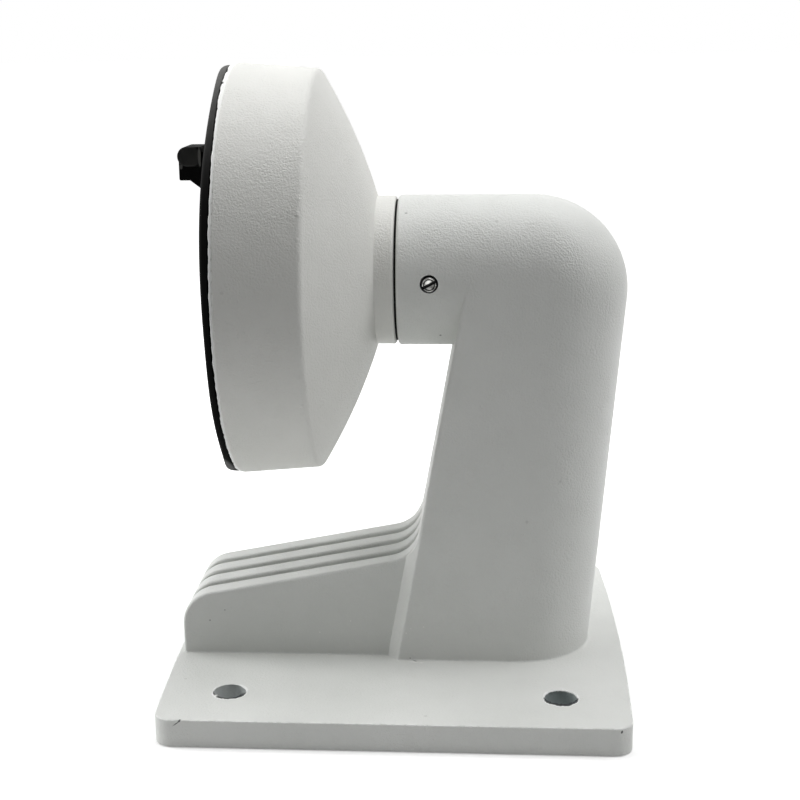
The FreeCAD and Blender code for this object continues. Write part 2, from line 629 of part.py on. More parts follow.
def hook_screw():
    """Slotted screw that holds the hook's base on its post."""
    head_seat_x = HOOK_BASE_X - HOOK_BASE_THICKNESS
    head_face_x = head_seat_x - HOOK_SCREW_HEAD_HEIGHT
    shank = cylinder_x(HOOK_SCREW_R, head_seat_x, HOOK_BASE_X + HOOK_SCREW_LENGTH, HOOK_Y, HOOK_POST_Z)
    head = cylinder_x(HOOK_SCREW_HEAD_R, head_face_x, head_seat_x, HOOK_Y, HOOK_POST_Z)
    slot_length = 2 * (HOOK_SCREW_HEAD_R + OVERCUT)
    slot = Part.makeBox(
        HOOK_SCREW_SLOT_DEPTH + OVERCUT, slot_length, HOOK_SCREW_SLOT_WIDTH,
        FreeCAD.Vector(
            head_face_x - OVERCUT,
            HOOK_Y - slot_length / 2,
            ARM_AXIS_Z + HOOK_POST_Z - HOOK_SCREW_SLOT_WIDTH / 2))
    return shank.fuse([head]).removeSplitter().cut([slot]).Solids[0]


PARTS = {
    "arm_casting": arm_casting,
    "dish": dish,
    "dish_gasket": dish_gasket,
    "neck_seal": neck_seal,
    "camera_hook": camera_hook,
    "hook_screw": hook_screw,
    "set_screw_front": lambda: set_screw(-1),
    "set_screw_rear": lambda: set_screw(1),
}

os.makedirs("parts", exist_ok=True)
for name, build in PARTS.items():
    shape = build()
    shape.exportStep("parts/" + name + ".step")
    print(name, "solids", len(shape.Solids), "valid", shape.isValid(), "volume", round(shape.Volume, 1))
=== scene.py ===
import math

import bmesh
import bpy
import numpy as np
from mathutils import Matrix, Vector


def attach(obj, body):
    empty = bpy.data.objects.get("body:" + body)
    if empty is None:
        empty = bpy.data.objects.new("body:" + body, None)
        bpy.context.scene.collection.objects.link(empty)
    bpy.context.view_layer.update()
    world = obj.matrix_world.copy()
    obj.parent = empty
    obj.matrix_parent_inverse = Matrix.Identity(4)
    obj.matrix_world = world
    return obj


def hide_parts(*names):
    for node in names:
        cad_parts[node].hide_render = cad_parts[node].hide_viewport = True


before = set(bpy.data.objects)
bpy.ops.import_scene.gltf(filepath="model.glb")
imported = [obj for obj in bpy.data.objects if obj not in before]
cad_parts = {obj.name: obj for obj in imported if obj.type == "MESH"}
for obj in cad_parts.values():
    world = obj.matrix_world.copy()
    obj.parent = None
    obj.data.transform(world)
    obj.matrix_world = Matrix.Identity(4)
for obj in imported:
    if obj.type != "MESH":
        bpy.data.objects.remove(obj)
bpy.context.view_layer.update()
MM = 0.001


# Arm and wall plate: one die casting, a bent tube on a ribbed foot, sprayed all over with a
# cool grey-white powder that bakes into a fine orange-peel skin. The two small marks on the
# plate's front edge are where the coat is knocked through to the metal.

ARM_COAT = (0.785, 0.795, 0.772)
# The paler coat of the beads and rims is a painted highlight along their edges.
THICK_COAT_HIGHLIGHT = (0.93, 0.935, 0.92)
CAST_METAL = (0.022, 0.026, 0.028)
HOLE_SPACING_X, HOLE_SPACING_Y, HOLE_R, PLATE_TOP = 86.6, 84.4, 4.3, 7.4
SCREW_X, SCREW_Z, SCREW_HOLE_R = 8.65, 111.8, 2.35


def add_node(tree, kind, inputs=None, **settings):
    """Adds a shader node. Each input is a number, a colour or another node's output socket."""
    made = tree.nodes.new(kind)
    for key, value in settings.items():
        setattr(made, key, value)
    for key, value in (inputs or {}).items():
        if isinstance(value, bpy.types.NodeSocket):
            tree.links.new(value, made.inputs[key])
        else:
            made.inputs[key].default_value = value
    return made


def blank_material(name):
    """A new material with nothing in its tree but the output."""
    material = bpy.data.materials.new(name)
    material.use_nodes = True
    material.node_tree.nodes.clear()
    return material, material.node_tree


def finish_material(tree, shader):
    """Wires the shader to the surface output."""
    output = add_node(tree, "ShaderNodeOutputMaterial")
    tree.links.new(shader.outputs[0], output.inputs["Surface"])


def calc(tree, operation, *values):
    """One Math node on numbers or sockets; gives its output."""
    return add_node(tree, "ShaderNodeMath", dict(enumerate(values)), operation=operation).outputs[0]


def spot(tree, place, centre, half_sizes, turn=(0, 0, 0), soft=0.5):
    """Share from 0 to 1 inside a small ellipsoid: 1 at its middle, falling to 0 at its skin."""
    local = add_node(
        tree, "ShaderNodeMapping",
        {"Vector": place, "Location": Vector(centre) * MM, "Scale": Vector(half_sizes) * MM,
         "Rotation": [math.radians(a) for a in turn]}, vector_type="TEXTURE")
    reach = add_node(tree, "ShaderNodeVectorMath", {0: local.outputs[0]}, operation="LENGTH")
    return add_node(
        tree, "ShaderNodeMapRange",
        {"Value": reach.outputs["Value"], "From Min": 1.0, "From Max": 1.0 - soft}).outputs[0]


def powder_coat(name, colour, peel, chips=(), pimples=(), flecks=(), shaded_bores=()):
    """Powder coat on cast metal: fine peel over slow waves, faint clouding, listed marks, bore walls darker
    in part as painted shade, and dark bare metal with painted shade along the paint rims.
    """
    material, tree = blank_material(name)
    place = add_node(tree, "ShaderNodeTexCoord").outputs["Object"]

    peel_grain = add_node(
        tree, "ShaderNodeTexNoise",
        {"Vector": place, "Scale": 1950.0, "Detail": 2.0, "Roughness": 0.5, "Distortion": 0.3})
    slow_wave = add_node(
        tree, "ShaderNodeTexNoise", {"Vector": place, "Scale": 130.0, "Detail": 1.0})
    cloud = add_node(
        tree, "ShaderNodeTexNoise", {"Vector": place, "Scale": 28.0, "Detail": 3.0})
    grit = add_node(
        tree, "ShaderNodeTexVoronoi", {"Vector": place, "Scale": 230.0, "Randomness": 1.0})
    grit_cell = add_node(tree, "ShaderNodeSeparateColor", {0: grit.outputs["Color"]})
    rare = calc(tree, "GREATER_THAN", grit_cell.outputs[0], 0.965)
    grit_dot = add_node(
        tree, "ShaderNodeMapRange",
        {"Value": grit.outputs["Distance"], "From Min": 0.14, "From Max": 0.05}).outputs[0]
    grit_here = calc(tree, "MULTIPLY", rare, grit_dot)

    tint = add_node(
        tree, "ShaderNodeValToRGB", {"Fac": cloud.outputs["Fac"]})
    tint.color_ramp.elements[0].position = 0.35
    tint.color_ramp.elements[1].position = 0.68
    tint.color_ramp.elements[0].color = (colour[0] * 0.965, colour[1] * 0.97, colour[2] * 0.965, 1)
    tint.color_ramp.elements[1].color = (colour[0] * 1.02, colour[1] * 1.02, colour[2] * 1.02, 1)
    grit_share = calc(tree, "MULTIPLY", grit_here, 0.25)
    coat_colour = add_node(
        tree, "ShaderNodeMix",
        {"Factor": grit_share, "A": tint.outputs["Color"], "B": (0.30, 0.30, 0.28, 1)},
        data_type="RGBA")
    coat_colour = coat_colour.outputs["Result"]

    pits = 0.0
    for centre, half_sizes, turn, soft in chips:
        pits = calc(tree, "MAXIMUM", pits, spot(tree, place, centre, half_sizes, turn, soft))
    bumps = 0.0
    for centre, radius, height in pimples:
        here = spot(tree, place, centre, (radius,) * 3, soft=1.0)
        bumps = calc(tree, "ADD", bumps, calc(tree, "MULTIPLY", here, height))

    # Each listed bore's wall takes its own darker colour: a thinner coat, darkened further as painted shade
    # inside the hole.
    for centre, half_sizes, shaded_wall_colour in shaded_bores:
        coat_colour = add_node(
            tree, "ShaderNodeMix",
            {"Factor": spot(tree, place, centre, half_sizes, soft=0.01), "A": coat_colour,
             "B": (*shaded_wall_colour, 1)}, data_type="RGBA").outputs["Result"]
    # The rims' attribute gives dark bare metal, and along each hole's front edge painted shade under the near
    # lip.
    cut_and_shade = add_node(tree, "ShaderNodeAttribute", attribute_name="cut_and_shade").outputs["Fac"]
    bare_and_shade = calc(tree, "MAXIMUM", pits, cut_and_shade)
    pale = 0.0
    for centre, half_sizes, turn in flecks:
        pale = calc(tree, "MAXIMUM", pale, spot(tree, place, centre, half_sizes, turn, 0.8))
    pale_coat = add_node(
        tree, "ShaderNodeMix",
        {"Factor": pale, "A": coat_colour, "B": (0.96, 0.96, 0.94, 1)},
        data_type="RGBA")

    colour_out = add_node(
        tree, "ShaderNodeMix",
        {"Factor": bare_and_shade, "A": pale_coat.outputs["Result"], "B": (*CAST_METAL, 1)}, data_type="RGBA")
    gloss = add_node(
        tree, "ShaderNodeMapRange",
        {"Value": cloud.outputs["Fac"], "From Min": 0.3, "From Max": 0.7, "To Min": 0.40, "To Max": 0.50})

    patch = add_node(
        tree, "ShaderNodeMapRange",
        {"Value": slow_wave.outputs["Fac"], "From Min": 0.3, "From Max": 0.7, "To Min": 0.65 * peel,
         "To Max": 1.35 * peel}).outputs[0]
    height = calc(tree, "MULTIPLY", peel_grain.outputs["Fac"], patch)
    height = calc(tree, "ADD", height, calc(tree, "MULTIPLY", slow_wave.outputs["Fac"], 0.5))
    height = calc(tree, "ADD", height, calc(tree, "MULTIPLY", grit_here, 0.35))
    height = calc(tree, "ADD", height, bumps)
    height = calc(tree, "ADD", height, calc(tree, "MULTIPLY", pale, 0.8))
    height = calc(tree, "SUBTRACT", height, pits)
    relief = add_node(
        tree, "ShaderNodeBump", {"Height": height, "Strength": 1.0, "Distance": 0.1 * MM})
    coat = add_node(
        tree, "ShaderNodeBsdfPrincipled",
        {"Base Color": colour_out.outputs["Result"], "Roughness": gloss.outputs[0],
         "Normal": relief.outputs[0], "IOR": 1.5, "Specular IOR Level": 0.35})
    finish_material(tree, coat)
    return material


def dress(node_name, material):
    """Gives one carried-over CAD node its material."""
    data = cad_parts[node_name].data
    data.materials.clear()
    data.materials.append(material)


ARM_CHIPS = [
    ((-54.2, -59.9, 6.5), (1.5, 0.9, 0.17), (0, -36, 0), 0.7),
    ((-53.5, -59.7, 7.1), (0.62, 0.6, 0.33), (0, -36, 0), 0.5),
    ((57.45, -59.6, 6.45), (0.28, 0.9, 0.48), (0, 12, 0), 0.4),
    ((2.46, -11.4, 129.2), (0.55, 0.3, 0.5), (0, -45, 0), 1.0),
    ((3.2, -20.1, 8.05), (0.2, 0.3, 0.25), (0, 0, 0), 1.0),
    ((4.6, -20.6, 7.55), (0.9, 0.3, 0.3), (0, 0, -14), 0.8),
    ((11.44, -12.85, 97.15), (0.4, 0.4, 0.4), (0, 0, 0), 0.8),
    ((-52.7, -17.0, 17.1), (0.32, 0.3, 0.2), (0, 0, 0), 1.0),
    ((-48.4, -17.0, 20.2), (0.25, 0.3, 0.2), (0, 0, 0), 1.0),
]
ARM_PIMPLES = [
    ((5.96, -19.9, 109.81), 0.6, 1.2),
    ((7.63, -19.86, 109.54), 0.55, 1.0),
    ((37.88, -20.1, 92.55), 0.6, 0.9),
    ((32.29, -20.1, 86.69), 0.6, 0.9),
    ((21.43, -20.1, 78.86), 1.3, -0.9),
    ((22.3, -20.1, 79.4), 0.5, 1.4),
    ((18.2, -19.9, 107.0), 0.7, -1.1),
    ((17.4, -19.8, 106.6), 0.4, 1.2),
    ((18.9, -20.0, 106.0), 0.35, 1.2),
    ((11.9, -12.6, 97.9), 0.9, -0.8),
]
ARM_FLECKS = [
    # Pale spot on the upper edge of the chip at the front-right corner: a painted highlight.
    ((57.5, -59.5, 7.25), (0.75, 0.8, 0.4), (0, 0, 0)),
    ((4.3, -21.2, 7.4), (1.5, 0.55, 0.6), (0, 0, -14)),
    ((6.4, -21.6, 7.4), (0.8, 0.45, 0.5), (0, 0, 10)),
    ((2.2, -20.1, 15.4), (0.3, 0.3, 0.25), (0, 0, 0)),
    ((3.4, -20.1, 16.8), (0.25, 0.3, 0.2), (0, 0, 0)),
    ((6.9, -20.1, 17.3), (0.25, 0.3, 0.3), (0, 0, 0)),
    ((-22.0, -17.0, 14.0), (0.3, 0.3, 0.3), (0, 0, 0)),
    ((-13.4, -17.0, 17.5), (0.25, 0.3, 0.3), (0, 0, 0)),
]
# Hole wall colours: a thinner coat, darkened as painted shade, more in some holes than others.
WALL_HOLES = [
    (-HOLE_SPACING_X / 2, -HOLE_SPACING_Y / 2, (0.60, 0.625, 0.62)),
    (HOLE_SPACING_X / 2, -HOLE_SPACING_Y / 2, (0.42, 0.465, 0.465)),
    (-HOLE_SPACING_X / 2, HOLE_SPACING_Y / 2, (0.45, 0.48, 0.48)),
    (HOLE_SPACING_X / 2, HOLE_SPACING_Y / 2, (0.55, 0.58, 0.58)),
]
ARM_SHADED_BORES = [((x, y, 0), (HOLE_R + 0.08, HOLE_R + 0.08, 1e3), hole_wall_shade) for x, y, hole_wall_shade in WALL_HOLES]
# The set screw's hole wall is near black: painted shade round the screw.
ARM_SHADED_BORES += [((SCREW_X, 0, SCREW_Z), (SCREW_HOLE_R + 0.06, 1e3, SCREW_HOLE_R + 0.06), (0.12,) * 3)]
arm_coat = powder_coat("arm powder coat", ARM_COAT, 1.9, ARM_CHIPS, ARM_PIMPLES, ARM_FLECKS, ARM_SHADED_BORES)
dress("arm_casting", arm_coat)


# Paint rims of the four wall holes: the powder builds up round each drilled hole in a low
# ragged lip, drawn in a paler coat as a painted highlight along the edge. A dark band along
# each hole's front edge is painted shade under the near lip, shown as bare metal, and the
# metal is bare inside below the paint's drip where the drill went through.

RIM_WIDTH, RIM_CREST, RIM_SINK = 0.5, 0.09, 0.75


def surface_piece(name, points, material, close_rows=False, close_columns=True, shares=None):
    """Makes a piece from a grid of points, rows by columns; a closed skin is turned to face out."""
    rows, columns = points.shape[:2]
    index = np.arange(rows * columns).reshape(rows, columns)
    row_cells = rows if close_rows else rows - 1
    column_cells = columns if close_columns else columns - 1
    here = index[:row_cells, :column_cells]
    across = np.roll(index, -1, 1)[:row_cells, :column_cells]
    down = np.roll(index, -1, 0)[:row_cells, :column_cells]
    both = np.roll(np.roll(index, -1, 0), -1, 1)[:row_cells, :column_cells]
    faces = np.stack([here, across, both, down], -1).reshape(-1, 4).tolist()
    data = bpy.data.meshes.new(name)
    data.from_pydata((points.reshape(-1, 3) * MM).tolist(), [], faces)
    data.validate()
    if close_rows:
        corners = np.array([list(triangle.vertices) for triangle in triangles_of(data)])
        place = points.reshape(-1, 3)[corners]
        volume = np.einsum("ij,ij->", place[:, 0], np.cross(place[:, 1], place[:, 2]))
        if volume < 0:
            data.flip_normals()
    for key, values in (shares or {}).items():
        data.attributes.new(key, "FLOAT", "POINT").data.foreach_set("value", values.ravel())
    data.shade_smooth()
    data.materials.append(material)
    piece = bpy.data.objects.new(name, data)
    bpy.context.scene.collection.objects.link(piece)
    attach(piece, "root")
    return piece


def triangles_of(data):
    """The mesh's triangles, worked out by Blender."""
    data.calc_loop_triangles()
    return data.loop_triangles


def ragged(angle, seed, size, lowest=3, highest=26):
    """Sum of sine waves round a circle with random phases, each higher one weaker; mean 0."""
    chance = np.random.default_rng(seed)
    total = np.zeros_like(angle)
    for count in range(lowest, highest):
        total += np.sin(count * angle + chance.uniform(0, 2 * np.pi)) / count ** 0.5
    return total / np.abs(total).max() * size


def paint_rim(x, y, seed, raggedness, notch_at, pinch):
    """Ring round a hole: a lumpy arch of paint, a dark band of painted shade along its front edge, then down
    inside.
    """
    angle = np.linspace(0, 2 * np.pi, 300, endpoint=False)
    notch = np.exp(-(np.angle(np.exp(1j * (angle - notch_at))) / 0.12) ** 2)
    pinched = np.exp(-((np.abs(np.angle(np.exp(1j * angle))) - 0.66) / 0.34) ** 2)
    bumps = ragged(angle, seed, 0.5, 7, 60)
    edge = HOLE_R - 0.02 - 0.6 * raggedness * (0.5 + bumps) - 0.3 * notch - pinch * pinched
    front = np.clip(-np.sin(angle), 0, 1) ** 0.5
    bare_and_shade = front ** 1.8 * (0.6 + 1.6 * raggedness) * (0.7 + ragged(angle, seed + 3, 0.3, 4, 40))
    lump = 0.15 * notch + 0.25 * raggedness * (1 + ragged(angle, seed + 9, 1.0, 9, 30)) * front
    drip = 0.06 + raggedness * (0.5 + ragged(angle, seed + 5, 0.5, 14, 46))
    crest = RIM_CREST * (1 + 2 * raggedness) * (1 + ragged(angle, seed + 7, 1.6 * raggedness + 0.3, 6, 50))
    crest = np.clip(crest * (1 - 0.8 * front), 0.03, None)
    outer = HOLE_R + RIM_WIDTH + bare_and_shade + ragged(angle, seed + 13, 0.12, 3, 12)
    flat = np.zeros_like(angle)
    rows = [(outer, PLATE_TOP - 0.02 + flat, 0), (outer - 0.12, PLATE_TOP + 0.5 * crest, 0),
            (outer - 0.26, PLATE_TOP + crest, 0), (HOLE_R + bare_and_shade + 0.16, PLATE_TOP + 0.9 * crest, 0),
            (HOLE_R + bare_and_shade + 0.08, PLATE_TOP + 0.5 * crest, 0.4), (HOLE_R + bare_and_shade, PLATE_TOP + 0.03 + flat, 1),
            (edge, PLATE_TOP + 0.02 + lump, 1), (edge + 0.01, PLATE_TOP - drip, 1),
            (HOLE_R + 0.08 + flat, PLATE_TOP - drip - 0.06, 1),
            (HOLE_R + 0.15 + flat, PLATE_TOP - RIM_SINK + flat, 0), (outer - 0.1, PLATE_TOP - 0.1 + flat, 0)]
    radius = np.stack([row[0] for row in rows])
    points = np.stack([x + radius * np.cos(angle), y + radius * np.sin(angle),
                       np.stack([row[1] for row in rows])], -1)
    share = np.repeat([[row[2]] for row in rows], len(angle), 1).astype(float)
    # The dark band of rows 4 to 7 is kept on the front side only: painted shade under the near lip.
    share[4:8] *= np.clip(1.7 * front, 0, 1) * (1 - notch)
    return points, share


# Paler coat for the beads and rims: a painted highlight along the edges.
thick_coat_highlight = powder_coat("thick edge coat painted highlight", THICK_COAT_HIGHLIGHT, 0.6)
RAGGEDNESS = [0.12, 0.42, 0.3, 0.2]
PINCH = [0.4, 0.0, 0.1, 0.2]
for number, ((x, y, hole_wall_shade), raggedness, pinch) in enumerate(zip(WALL_HOLES, RAGGEDNESS, PINCH)):
    rim_points, rim_bare_and_shade = paint_rim(x, y, 40 + number, raggedness, math.radians(222 - 75 * number), pinch)
    surface_piece(f"hole_paint_rim_{number + 1}", rim_points, thick_coat_highlight, close_rows=True,
                  shares={"cut_and_shade": rim_bare_and_shade})


# Paint bead of the wall plate: along its top edge the powder draws back from the corner and dries
# in a thin uneven bead, broken here and there, drawn in a paler coat as a painted highlight.

PLATE_HALF_X, PLATE_HALF_Y, PLATE_BULGE, PLATE_CORNER_R, PLATE_EDGE_R = 60.4, 60.0, 1.6, 5.0, 0.45


def plate_outline(step):
    """Line round the plate: swollen side, corner, straight side, corner, then all turned half round."""
    swell_r = (PLATE_HALF_Y ** 2 + PLATE_BULGE ** 2) / (2 * PLATE_BULGE)
    swell_x = PLATE_HALF_X + PLATE_BULGE - swell_r
    corner_y = PLATE_HALF_Y - PLATE_CORNER_R
    corner_x = swell_x + math.sqrt((swell_r - PLATE_CORNER_R) ** 2 - corner_y ** 2)
    end = math.atan2(corner_y, corner_x - swell_x)
    swell = np.linspace(-end, end, int(2 * corner_y / step))
    bend = np.linspace(end, math.pi / 2, int(1.5 * PLATE_CORNER_R / step))[1:]
    run = np.linspace(corner_x, -corner_x, int(2 * corner_x / step))[1:-1]
    quarters = [
        (swell_x + swell_r * np.cos(swell), swell_r * np.sin(swell), swell),
        (corner_x + PLATE_CORNER_R * np.cos(bend), corner_y + PLATE_CORNER_R * np.sin(bend), bend),
        (run, np.full_like(run, PLATE_HALF_Y), np.full_like(run, math.pi / 2)),
        (-corner_x - PLATE_CORNER_R * np.cos(bend[::-1]), corner_y + PLATE_CORNER_R * np.sin(bend[::-1]),
         math.pi - bend[::-1]),
    ]
    half = np.concatenate([np.stack(quarter) for quarter in quarters], 1)
    return np.concatenate([half, half * [[-1], [-1], [1]] + [[0], [0], [math.pi]]], 1)


def uneven(count, width, seed):
    """Chance values smoothed over the given number of neighbours round a closed line, 0 to 1."""
    steps = np.random.default_rng(seed).normal(size=count)
    window = np.fft.fft(np.hanning(width + 2)[1:-1], count)
    wave = np.real(np.fft.ifft(np.fft.fft(steps) * window))
    return np.clip(0.5 + 0.35 * wave / wave.std(), 0, 1)


def edge_bead(step):
    """Round edge swollen towards its sharp corner by the uneven share, and closed inside the plate."""
    x, y, out = plate_outline(step)
    share = uneven(len(x), 3, 21) * uneven(len(x), 14, 22) ** 0.5
    angle = np.radians([-20, 0, 12, 26, 38, 45, 52, 64, 78, 90, 110])[:, None]
    inside = (angle < 0) | (angle > math.pi / 2)
    corner = PLATE_EDGE_R * (1 / np.maximum(np.cos(angle), np.sin(angle)) - 1)
    reach = PLATE_EDGE_R + np.where(inside, -0.08, corner * 0.85 * share - 0.03 * (1 - share))
    reach = np.concatenate([reach, np.full((2, len(x)), 0.15)])
    angle = np.concatenate([angle, np.radians([[110], [-20]])])
    level = reach * np.cos(angle) - PLATE_EDGE_R
    return np.stack([x + level * np.cos(out), y + level * np.sin(out),
                     PLATE_TOP - PLATE_EDGE_R + reach * np.sin(angle)], -1)


surface_piece("plate_edge_paint_bead", edge_bead(0.4), thick_coat_highlight, close_rows=True)


# Dish: a round die casting plugged into the arm, in a slightly warmer powder of the same kind,
# sprayed thicker, so that its peel is coarser than the arm's. Three blind holes in its rim are
# tapped for the camera's screws.

DISH_COAT = (0.785, 0.785, 0.755)
AXIS_Z, RIM_X = 112.5, -42.1
SCREW_CIRCLE_R, THREAD_R, THREAD_DEPTH, THREAD_PITCH = 45.0, 1.65, 11.6, 0.7
BOSS_X = RIM_X + 1.0

DISH_CHIPS = [
    ((-21.5, -53.4, 120.6), (0.22, 0.35, 0.6), (0, 0, 0), 1.0),
    ((-21.6, -54.0, 117.1), (0.2, 0.35, 0.4), (0, 0, 0), 1.0),
]
DISH_PIMPLES = [((-21.25, -49.6, 133.5), 1.0, 3.2), ((-21.3, -51.5, 127.5), 0.7, 1.6)]
dish_coat = powder_coat("dish powder coat", DISH_COAT, 1.9, DISH_CHIPS, DISH_PIMPLES)
dress("dish", dish_coat)


def cut_metal(name, colour, roughness, groove_scale):
    """Turned or tapped metal: fine noise in height and gloss, stained, and painted black in its cuts as
    painted shade.
    """
    material, tree = blank_material(name)
    place = add_node(tree, "ShaderNodeTexCoord").outputs["Object"]
    grain = add_node(
        tree, "ShaderNodeTexNoise", {"Vector": place, "Scale": groove_scale, "Detail": 3.0})
    stain = add_node(tree, "ShaderNodeTexNoise", {"Vector": place, "Scale": 900.0, "Detail": 3.0})
    shade = add_node(tree, "ShaderNodeValToRGB", {"Fac": stain.outputs["Fac"]})
    shade.color_ramp.elements[0].position = 0.36
    shade.color_ramp.elements[1].position = 0.62
    shade.color_ramp.elements[0].color = (*[0.3 * c for c in colour], 1)
    shade.color_ramp.elements[1].color = (*colour, 1)
    cut_and_shade = add_node(tree, "ShaderNodeAttribute", attribute_name="cut_and_shade").outputs["Fac"]
    # The marked cuts are darkened to near black: painted shade in the recesses.
    shaded_cuts = add_node(
        tree, "ShaderNodeMix", {"Factor": cut_and_shade, "A": shade.outputs["Color"], "B": (0.008, 0.008, 0.008, 1)},
        data_type="RGBA")
    gloss = add_node(
        tree, "ShaderNodeMapRange",
        {"Value": grain.outputs["Fac"], "To Min": roughness - 0.08, "To Max": roughness + 0.12})
    relief = add_node(
        tree, "ShaderNodeBump",
        {"Height": grain.outputs["Fac"], "Strength": 0.6, "Distance": 0.02 * MM})
    metal = add_node(
        tree, "ShaderNodeBsdfPrincipled",
        {"Base Color": shaded_cuts.outputs["Result"], "Metallic": 1.0, "Roughness": gloss.outputs[0],
         "Normal": relief.outputs[0]})
    finish_material(tree, metal)
    return material


def tapped_thread(y, z):
    """Screw thread inside a hole along X: the radius swings with a wave that climbs one pitch a turn."""
    angle = np.linspace(0, 2 * np.pi, 40, endpoint=False)
    depth = np.linspace(0, THREAD_DEPTH, 132)
    turn, down = np.meshgrid(angle, depth)
    wave = 2 * np.abs((down / THREAD_PITCH - turn / (2 * np.pi)) % 1.0 - 0.5)
    radius = THREAD_R - 0.02 - 0.26 * wave
    return np.stack([BOSS_X + down, y + radius * np.cos(turn), z + radius * np.sin(turn)], -1)


thread_metal = cut_metal("tapped thread", (0.32, 0.32, 0.31), 0.42, 2600.0)
for number in range(3):
    angle = math.radians(90 + 120 * number)
    hole_y = SCREW_CIRCLE_R * math.cos(angle)
    hole_z = AXIS_Z + SCREW_CIRCLE_R * math.sin(angle)
    surface_piece(
        f"camera_hole_thread_{number + 1}", tapped_thread(hole_y, hole_z), thread_metal)


# Paint bead of the dish's rim: the powder piles up on the rim's sharp edge in a ragged bead, drawn
# in a paler coat as a painted highlight along the edge. It reaches over the gasket's notch, most of
# all near the top on one side, as a pale sheet: a painted highlight where light from above falls on the
# gasket.

RIM_NICKS = (104.0, 112.8)


def bell(angle, middle, width):
    """Bell curve round the dish: 1 at the middle angle, both angles in degrees."""
    return np.exp(-((angle - math.radians(middle)) / math.radians(width)) ** 2)


def highlight_reach(angle):
    """How far the pale bead reaches over the gasket as painted highlight, in mm: most at the very top, less
    beside it and near the bottom.
    """
    return 0.5 * bell(angle, 113, 14) + 0.75 * bell(angle, 95, 7.5) + 0.25 * bell(angle, 243, 7)


def rim_bead():
    """Low arch from the dish's wall over the rim's corner to a ragged front, closed inside the rim."""
    angle = np.linspace(0, 2 * np.pi, 720, endpoint=False)
    share = uneven(720, 3, 31) * 0.6 + uneven(720, 12, 32) * 0.4
    front = RIM_X - 0.12 - 0.3 * share - highlight_reach(angle) * (0.8 + 0.25 * share)
    for nick in RIM_NICKS:
        front += 0.5 * np.exp(-((angle - math.radians(nick)) / 0.009) ** 2)
    flat = np.zeros_like(angle)
    rows = [(RIM_X + 0.95 + flat, 54.7), (RIM_X + 0.5 + flat, 54.8), (RIM_X + 0.3 + flat, 54.85),
            (RIM_X + 0.1 + flat, 54.88), (0.5 * (RIM_X + front), 54.82), (front + 0.04, 54.68), (front, 54.5),
            (front + 0.05, 54.25), (RIM_X + 0.1 + flat, 54.2), (RIM_X + 0.7 + flat, 54.4)]
    x = np.stack([row[0] for row in rows])
    radius = np.array([[row[1]] for row in rows])
    return np.stack([x, radius * np.cos(angle), AXIS_Z + radius * np.sin(angle)], -1)


surface_piece("dish_rim_paint_bead", rim_bead(), thick_coat_highlight, close_rows=True)


# Neck seal: a thin black rubber ring squeezed between the dish's shoulder and the arm's mouth,
# seen only as the dark line round the joint.

def black_rubber(name, colour, roughness, specular, grain_scale, grain_depth, painted_top_highlight=None, painted_highlights=()):
    """Black rubber or plastic: fine grain, faint clouds, a painted highlight growing grey from one height up,
    and listed grey painted highlights.
    """
    material, tree = blank_material(name)
    place = add_node(tree, "ShaderNodeTexCoord").outputs["Object"]
    grain = add_node(
        tree, "ShaderNodeTexNoise", {"Vector": place, "Scale": grain_scale, "Detail": 3.0})
    dust = add_node(
        tree, "ShaderNodeTexNoise", {"Vector": place, "Scale": 180.0, "Detail": 4.0})
    shade = add_node(tree, "ShaderNodeValToRGB", {"Fac": dust.outputs["Fac"]})
    shade.color_ramp.elements[0].position = 0.4
    shade.color_ramp.elements[1].position = 0.75
    shade.color_ramp.elements[0].color = (*colour, 1)
    shade.color_ramp.elements[1].color = (*[1.7 * c for c in colour], 1)
    grey = 0.0
    if painted_top_highlight:
        level = add_node(tree, "ShaderNodeSeparateXYZ", {0: place}).outputs["Z"]
        rise = add_node(
            tree, "ShaderNodeMapRange",
            {"Value": level, "From Min": painted_top_highlight[0] * MM, "From Max": painted_top_highlight[1] * MM}).outputs[0]
        grey = calc(tree, "POWER", rise, 2.2)
    for centre, half_sizes, turn, soft, share in painted_highlights:
        here = spot(tree, place, centre, half_sizes, turn, soft)
        grey = calc(tree, "MAXIMUM", grey, calc(tree, "MULTIPLY", here, share))
    clouded = calc(tree, "MULTIPLY", grey, calc(tree, "ADD", 0.5, dust.outputs["Fac"]))
    greyed = add_node(
        tree, "ShaderNodeMix",
        {"Factor": clouded, "A": shade.outputs["Color"], "B": (0.125, 0.125, 0.122, 1)}, data_type="RGBA")
    gloss = add_node(
        tree, "ShaderNodeMapRange",
        {"Value": dust.outputs["Fac"], "From Min": 0.3, "From Max": 0.7,
         "To Min": roughness - 0.05, "To Max": roughness + 0.08})
    relief = add_node(
        tree, "ShaderNodeBump",
        {"Height": grain.outputs["Fac"], "Strength": 0.7, "Distance": grain_depth * MM})
    skin = add_node(
        tree, "ShaderNodeBsdfPrincipled",
        {"Base Color": greyed.outputs["Result"], "Roughness": gloss.outputs[0],
         "Specular IOR Level": specular, "Normal": relief.outputs[0]})
    finish_material(tree, skin)
    return material


seal_rubber = black_rubber("neck seal rubber", (0.006, 0.006, 0.006), 0.75, 0.1, 1500.0, 0.03)
dress("neck_seal", seal_rubber)


# Set screws: two slotted steel grub screws, one each side of the arm's mouth, which bite on the
# dish's spigot. Each end is turned with a raised middle, a groove and a chamfered rim.

SCREW_R, SCREW_FACE_Y, SCREW_TIP_Y = 1.98, 19.3, 14.3
SCREW_SLOT_WIDTH, SCREW_SLOT_DEPTH, SCREW_SLOT_DEG = 0.78, 0.9, 27.5


